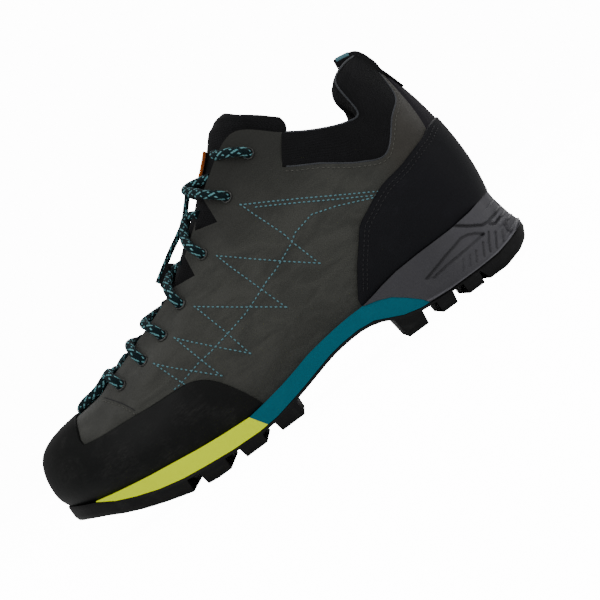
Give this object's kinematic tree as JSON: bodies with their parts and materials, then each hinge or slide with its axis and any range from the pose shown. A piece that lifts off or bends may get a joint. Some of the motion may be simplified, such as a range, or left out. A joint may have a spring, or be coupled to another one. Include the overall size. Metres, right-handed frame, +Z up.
{
  "type": "approach shoe",
  "caption": "Mid-cut laced approach shoe for the left foot: suede upper with rubber toe rand and heel counter, padded collar and tongue, layered midsole and lugged outsole.",
  "frame": {"origin": "on the floor, in the middle of the lug under the heel that the shoe rests on", "axes": "+Z up, -X towards the toe, -Y towards the outer side of the foot"},
  "size_m": [0.3033, 0.107, 0.1612],
  "materials": {
    "suede": "napped suede, warm grey",
    "rand_rubber": "matte black rubber",
    "counter_rubber": "matte black rubberised synthetic",
    "collar_textile": "dense dark knit over padding",
    "tongue_textile": "dark padded textile",
    "label_webbing": "plain orange tape",
    "webbing": "black webbing",
    "footbed": "dark footbed cloth",
    "outsole_rubber": "matte black rubber",
    "lime_midsole": "matte lime foam",
    "blue_midsole": "matte petrol blue moulding",
    "grey_midsole": "matte grey foam",
    "eyelet_metal": "dull lacquered",
    "lace_cord": "round braided cord, dark teal with pale flecks"
  },
  "bodies": {
    "root": {"upper": "suede", "toe_rand": "rand_rubber", "heel_counter": "counter_rubber", "collar": "collar_textile", "tongue": "tongue_textile", "tongue_label": "label_webbing", "lace_keeper": "webbing", "heel_pull_loop": "webbing", "insole": "footbed", "outsole": "outsole_rubber", "midsole_forefoot": "lime_midsole", "midsole_arch": "blue_midsole", "midsole_heel": "grey_midsole", "eyelet_outer_1": "eyelet_metal", "eyelet_outer_2": "eyelet_metal", "eyelet_outer_3": "eyelet_metal", "eyelet_outer_4": "eyelet_metal", "eyelet_outer_5": "eyelet_metal", "eyelet_outer_6": "eyelet_metal", "eyelet_outer_7": "eyelet_metal", "eyelet_inner_1": "eyelet_metal", "eyelet_inner_2": "eyelet_metal", "eyelet_inner_3": "eyelet_metal", "eyelet_inner_4": "eyelet_metal", "eyelet_inner_5": "eyelet_metal", "eyelet_inner_6": "eyelet_metal", "eyelet_inner_7": "eyelet_metal", "lace_bar": "lace_cord", "lace_crossing_1": "lace_cord", "lace_crossing_2": "lace_cord", "lace_crossing_3": "lace_cord", "lace_crossing_4": "lace_cord", "lace_crossing_5": "lace_cord", "lace_crossing_6": "lace_cord", "lace_run": "lace_cord", "lace_end_outer": "lace_cord", "lace_end_inner": "lace_cord"}
  },
  "joints": []
}
